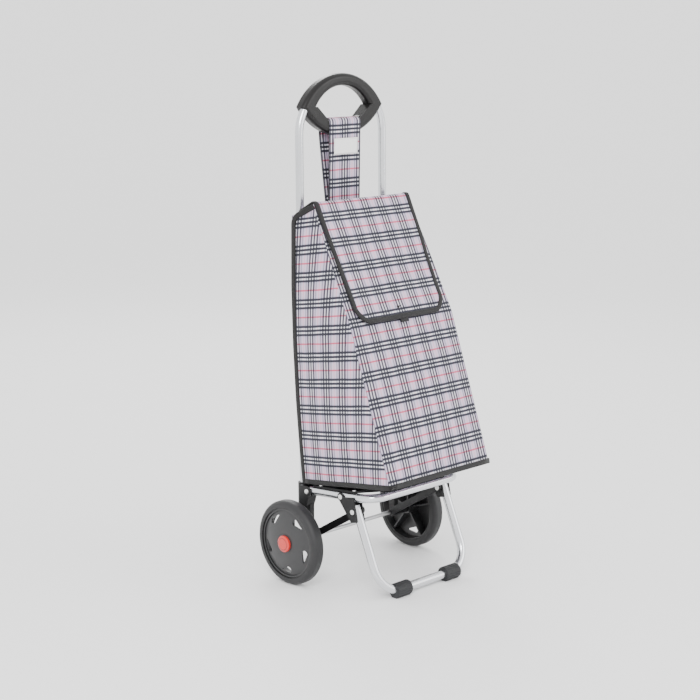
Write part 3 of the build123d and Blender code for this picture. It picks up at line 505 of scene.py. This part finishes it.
def build_bag():
    """The bag's sides, front and bottom as one skin, open at the top."""
    points, faces, uvs, indices = [], [], [], []
    columns, rows = 25, 61
    for sign in (1, -1):
        start = len(points)
        for row in range(rows):
            for column in range(columns):
                place = side_point(column / (columns - 1), row / (rows - 1))
                points.append(Vector((sign * place.x, place.y, place.z)))
        for face in grid_faces(rows, columns, start, flip=sign < 0):
            faces.append(face)
            indices.append(0)
            for corner in face:
                forward = BACK_TOP.x - points[corner].y
                uvs.append((forward, points[corner].z + forward * BOTTOM_LINE_TILT))
    start, columns = len(points), 41
    levels = [row / (rows - 1) for row in range(rows)]
    for level in levels:
        for column in range(columns):
            points.append(front_point(column / (columns - 1) * 2 - 1, level))
    for face in grid_faces(rows, columns, start):
        faces.append(face)
        indices.append(1)
        for corner in face:
            level = levels[(corner - start) // columns]
            uvs.append((points[corner].x, FRONT_LENGTH * level))
    start, depth = len(points), 25
    for row in range(depth):
        place = lerp(BACK_BOTTOM, FRONT_BOTTOM, row / (depth - 1))
        half = side_point(row / (depth - 1), 0).x
        for column in range(columns):
            points.append(Vector((half * (column / (columns - 1) * 2 - 1), place.x, place.y)))
    for face in grid_faces(depth, columns, start):
        faces.append(face)
        indices.append(1)
        uvs.extend((points[corner].x, points[corner].y) for corner in face)
    made = make_mesh("bag_cloth", points, faces, uvs, [side_check, front_check, lining], indices)
    weld(made)
    thicken(made, CLOTH_THICK, -1.0, inner=2, rim=2)
    round_edges = made.modifiers.new("round_edges", "BEVEL")
    round_edges.width = 0.0022
    round_edges.segments = 2
    round_edges.angle_limit = math.radians(38)
    round_edges.limit_method = "ANGLE"
    bake(made)
    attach(made, "frame")
    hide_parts("bag_side_panel_left", "bag_side_panel_right", "bag_front_panel", "bag_bottom_panel")
    return made


def build_back():
    """The bag's plain back, flat between the uprights."""
    points, uvs = [], []
    rows, columns = 31, 21
    for row in range(rows):
        level = row / (rows - 1)
        place = lerp(BACK_BOTTOM, BACK_TOP, level)
        half = side_point(0, level).x - 0.0004
        for column in range(columns):
            across = column / (columns - 1) * 2 - 1
            points.append(Vector((half * across, place.x - 0.0002, place.y)))
    faces = grid_faces(rows, columns)
    for face in faces:
        uvs.extend((points[corner].x, points[corner].z) for corner in face)
    made = make_mesh("bag_back", points, faces, uvs, [lining])
    thicken(made, CLOTH_THICK, 1.0)
    bake(made)
    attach(made, "frame")
    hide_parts("bag_back_panel")


TAPE_TURN = 0.012
BOTTOM_TAPE_RISE = 0.0036


def build_bindings():
    """Black tape down both back edges, over the slanted top of the sides and round the bottom."""
    out_right = Vector((1, 0, 0))
    pieces = []
    up, forward = (BACK_TOP - BACK_BOTTOM).normalized(), (RIDGE - BACK_TOP).normalized()
    up_in, forward_in = Vector((-up.y, up.x)), Vector((-forward.y, forward.x))
    inset = 0.0046
    turn = BACK_TOP + (up_in + forward_in) * (inset / (1 + up_in.dot(forward_in)))
    low, end = BACK_BOTTOM + up_in * inset, RIDGE + forward_in * inset
    before, after = turn - up * TAPE_TURN, turn + forward * TAPE_TURN
    line = [lerp(low, before, step / 40) for step in range(40)]
    line += [bend(before, turn, after, step / 10) for step in range(11)]
    line += [lerp(after, end, step / 8) for step in range(1, 9)]
    for sign, side in ((1, "right"), (-1, "left")):
        points, normals = [], []
        for place in line:
            share = 0.0
            if place.y > turn.y - 0.01:
                share = clamp((turn.x - place.x) / (turn.x - end.x))
            half = lerp(back_half(place.y), edge_half(RIDGE.y), share ** 0.8)
            points.append(Vector((sign * (half + 0.0002), place.x, place.y)))
            normals.append(sign * out_right)
        pieces.append(sweep_band("edge_tape_" + side, points, normals, 0.0105, 0.0042, tape))
    points, normals = [], []
    for row in range(13):
        place = side_point(row / 12, 0.0)
        points.append(Vector((place.x, place.y, place.z + BOTTOM_TAPE_RISE)))
        normals.append(out_right)
    for row in range(1, 17):
        place = front_point(1 - row / 8, 0.0)
        points.append(Vector((place.x, place.y - 0.0006, place.z + BOTTOM_TAPE_RISE)))
        normals.append(Vector((0, -1, 0)) if row < 16 else out_right)
    for row in range(13):
        place = side_point(1 - row / 12, 0.0)
        points.append(Vector((-place.x, place.y, place.z + BOTTOM_TAPE_RISE)))
        normals.append(-out_right)
    pieces.append(sweep_band("bottom_tape", points, normals, 0.0100, 0.0034, tape))
    for piece in pieces:
        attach(piece, "frame")
    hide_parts("bag_bindings")


# ------------------------------------------------------------ the flap
FRONT_UP = (RIDGE - KNEE).normalized()
FRONT_OUT = Vector((-FRONT_UP.y, FRONT_UP.x))
ROOF_BACK = (BACK_TOP - RIDGE).normalized()
ROOF_OUT = Vector((-ROOF_BACK.y, ROOF_BACK.x))
FLAP_LIFT = 0.0036
FLAP_REAR = 0.0050
FLAP_DROP = 0.2380
FLAP_CORNER = 0.038
FLAP_HALF_TOP = 0.1220
FLAP_HALF_BOTTOM = 0.1140
RIDGE_RADIUS = 0.0070
RIDGE_ANGLE = math.acos(ROOF_OUT.dot(FRONT_OUT))
ROOF_LENGTH = (BACK_TOP - RIDGE).length


def flap_line():
    """The flap's middle line as (place, outward) from its rear edge over a rounded ridge to its bottom."""
    corner = RIDGE + (FRONT_OUT + ROOF_OUT) * (FLAP_LIFT / (1 + FRONT_OUT.dot(ROOF_OUT)))
    rear = corner + ROOF_BACK * (ROOF_LENGTH - FLAP_REAR + 0.0015)
    low = corner - FRONT_UP * (FLAP_DROP + 0.002)
    cut = RIDGE_RADIUS * math.tan(RIDGE_ANGLE / 2)
    start, end = corner + ROOF_BACK * cut, corner - FRONT_UP * cut
    centre = start - ROOF_OUT * RIDGE_RADIUS
    line = [(lerp(rear, start, step / 9), ROOF_OUT) for step in range(10)]
    for step in range(1, 9):
        share = step / 9
        outward = ROOF_OUT * math.sin((1 - share) * RIDGE_ANGLE) + FRONT_OUT * math.sin(share * RIDGE_ANGLE)
        outward = outward / math.sin(RIDGE_ANGLE)
        line.append((centre + outward * RIDGE_RADIUS, outward))
    line += [(lerp(end, low, step / 60), FRONT_OUT) for step in range(61)]
    return line


def flap_half(distance_left):
    """Half the flap's width, drawn in round its bottom corners."""
    half = lerp(FLAP_HALF_TOP, FLAP_HALF_BOTTOM, clamp(1 - distance_left / FLAP_DROP))
    if distance_left < FLAP_CORNER:
        drop = FLAP_CORNER - distance_left
        half -= FLAP_CORNER - math.sqrt(max(0.0, FLAP_CORNER ** 2 - drop ** 2))
    return half


def build_flap():
    """The lid's check cloth, its bound edge and the closing tab."""
    line = flap_line()
    distances = [0.0]
    for (a, _), (b, _) in zip(line, line[1:]):
        distances.append(distances[-1] + (b - a).length)
    total = distances[-1]
    columns, rows = 41, len(line)
    points, uvs = [], []

    def surface(index, across):
        place, outward = line[index]
        left = total - distances[index]
        half = flap_half(left)
        low = max(0.0, 1 - left / 0.10)
        ripple = 0.0013 * low * math.sin(across * 5.0 + 0.6) + 0.0016 * low * low
        ripple += 0.0012 * noise.noise(Vector((across * 2.0, distances[index] * 14.0, 1.0)))
        lift = outward * max(-0.0006, ripple)
        return Vector((half * across, place.x + lift.x, place.y + lift.y)), Vector((0, outward.x, outward.y))

    for index in range(rows):
        for column in range(columns):
            points.append(surface(index, column / (columns - 1) * 2 - 1)[0])
    faces = grid_faces(rows, columns, flip=True)
    for face in faces:
        uvs.extend((points[corner].x, total - distances[corner // columns]) for corner in face)
    cloth = make_mesh("flap_cloth", points, faces, uvs, [flap_check])
    thicken(cloth, CLOTH_THICK, 0.0)
    bake(cloth)
    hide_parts("flap_roof_panel", "flap_front_panel")

    edge, normals = [], []
    inset = 0.0040
    for index in range(rows - 1):
        place, outward = surface(index, -1.0)
        edge.append(place + Vector((inset, 0, 0)) * (1 if total - distances[index] > FLAP_CORNER else 0.7))
        normals.append(outward)
    for column in range(21):
        across = column / 20 * 2 - 1
        place, outward = surface(rows - 1, across)
        edge.append(place + Vector((0, FRONT_UP.x, FRONT_UP.y)) * inset)
        normals.append(outward)
    for index in range(rows - 2, -1, -1):
        place, outward = surface(index, 1.0)
        edge.append(place - Vector((inset, 0, 0)) * (1 if total - distances[index] > FLAP_CORNER else 0.7))
        normals.append(outward)
    binding = sweep_band("flap_tape", edge, normals, 0.0092, 0.0042, tape)
    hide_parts("flap_roof_binding", "flap_front_binding")

    low_place, outward = surface(rows - 1, 0.0)
    up = Vector((0, FRONT_UP.x, FRONT_UP.y))
    tab_points = [low_place - outward * 0.0012 + up * step for step in (0.024, 0.012, 0.0, -0.004, -0.0075)]
    tab = sweep_band("closing_tab", tab_points, [outward] * len(tab_points), 0.020, 0.0016, tape)
    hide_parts("flap_tab")

    for piece in (cloth, binding):
        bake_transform(piece)
    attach(tab, "flap_front")


# ------------------------------------------------------------ the strap
def build_strap():
    """The hanging strap: check cloth with black edges, looped round the handle's lower bar."""
    front_y, back_y = bow_low[1] - 0.0016, bow_high[1] + 0.0012
    rear_y = back_y + 0.0012
    top = strap_high[2] - 0.0012
    foot_z = strap_low[2]
    foot_y = BACK_TOP.x + 0.0016
    corners = [Vector((foot_y, foot_z)), Vector((foot_y + 0.0006, BACK_TOP.y)),
               Vector((front_y + 0.0006, top)), Vector((rear_y, top)),
               Vector((rear_y, bow_low[2] + 0.004)), Vector((foot_y + 0.0026, foot_z))]
    path = [corners[0]]
    for before, corner, after, radius in zip(corners, corners[1:], corners[2:], (0.03, 0.010, 0.010, 0.03)):
        into, away = (before - corner).normalized(), (after - corner).normalized()
        reach = min(radius, (before - corner).length * 0.45, (after - corner).length * 0.45)
        a, b = corner + into * reach, corner + away * reach
        path += [bend(a, corner, b, step / 8) for step in range(9)]
    path.append(corners[-1])
    dense = []
    for a, b in zip(path, path[1:]):
        steps = max(1, int((b - a).length / 0.006))
        dense += [lerp(a, b, step / steps) for step in range(steps)]
    dense.append(path[-1])
    columns, half = 13, 0.040
    points, distances = [], [0.0]
    for index, place in enumerate(dense):
        if index:
            distances.append(distances[-1] + (place - dense[index - 1]).length)
        sag = 0.0012 * math.sin(index * 0.09)
        for column in range(columns):
            across = column / (columns - 1) * 2 - 1
            points.append(Vector((half * across, place.x + sag * (1 - across * across) * 0.4, place.y)))
    faces = grid_faces(len(dense), columns)
    uvs = []
    for face in faces:
        uvs.extend((points[corner].x, distances[corner // columns]) for corner in face)
    made = make_mesh("strap_cloth", points, faces, uvs, [strap_check, webbing])
    thicken(made, 0.0018, -1.0, rim=1)
    bake(made)
    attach(made, "frame")
    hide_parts("strap")

    middle_z = (label_low[2] + label_high[2]) / 2
    y_low = label_low[1] + 0.0002
    lean = (front_y - foot_y) / (top - BACK_TOP.y)
    label_points = []
    for row in range(9):
        for column in range(17):
            x, z = (column / 8 - 1) * LABEL_HALF_WIDTH, (row / 4 - 1) * LABEL_HALF_HEIGHT
            label_points.append(Vector((x, y_low - 0.0006 + lean * z, middle_z + z)))
    faces = grid_faces(9, 17)
    uvs = []
    for face in faces:
        uvs.extend((label_points[corner].x, label_points[corner].z - middle_z) for corner in face)
    label = make_mesh("plain_label", label_points, faces, uvs, [label_white])
    thicken(label, 0.0010, -1.0)
    bake(label)
    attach(label, "frame")
    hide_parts("strap_label")


build_bag()
build_back()
build_bindings()
build_flap()
build_strap()


# ------------------------------------------------------------ floor, light and camera
def build_floor():
    """A pale floor that curves up far behind the object, so that no horizon shows."""
    reach, flat, radius = 9.0, 3.2, 2.5
    profile = [(-reach, 0.0), (flat, 0.0)]
    for step in range(1, 19):
        angle = math.radians(5 * step)
        profile.append((flat + radius * math.sin(angle), radius - radius * math.cos(angle)))
    profile.append((flat + radius, reach))
    along, across = Vector((0.70, 0.714, 0)), Vector((0.714, -0.70, 0))
    points = [along * distance + across * side + Vector((0, 0, height))
              for distance, height in profile for side in (-reach, reach)]
    pale = plain_material("pale_floor", (0.90, 0.90, 0.90), 0.7, grain=60.0, depth=0.00001, vary=0.01)
    made = make_mesh("floor", points, grid_faces(len(profile), 2, flip=True), materials=[pale])


build_floor()

world = bpy.data.worlds.new("studio")
bpy.context.scene.world = world
world.use_nodes = True
world.node_tree.nodes["Background"].inputs["Color"].default_value = (1.0, 1.0, 1.0, 1)
world.node_tree.nodes["Background"].inputs["Strength"].default_value = 1.9


def area_light(name, place, target, size, power):
    data = bpy.data.lights.new(name, "AREA")
    data.shape, data.size, data.energy = "DISK", size, power
    light = bpy.data.objects.new(name, data)
    light.location = place
    light.rotation_euler = (Vector(target) - Vector(place)).to_track_quat("-Z", "Y").to_euler()
    bpy.context.collection.objects.link(light)


area_light("key", (-2.4, -2.0, 2.6), (0, 0, 0.45), 1.6, 90.0)
area_light("fill", (1.8, -2.6, 1.5), (0, 0, 0.45), 1.8, 30.0)
area_light("rim", (1.4, 2.2, 2.2), (0, 0, 0.5), 1.2, 30.0)

camera_data = bpy.data.cameras.new("camera")
camera_data.lens, camera_data.sensor_width = 82.32, 36.0
camera = bpy.data.objects.new("camera", camera_data)
camera.location = (-2.08299, -2.04943, 1.02813)
camera.rotation_euler = Vector((0.68471, 0.70104, -0.19929)).to_track_quat("-Z", "Y").to_euler()
bpy.context.collection.objects.link(camera)
bpy.context.scene.camera = camera
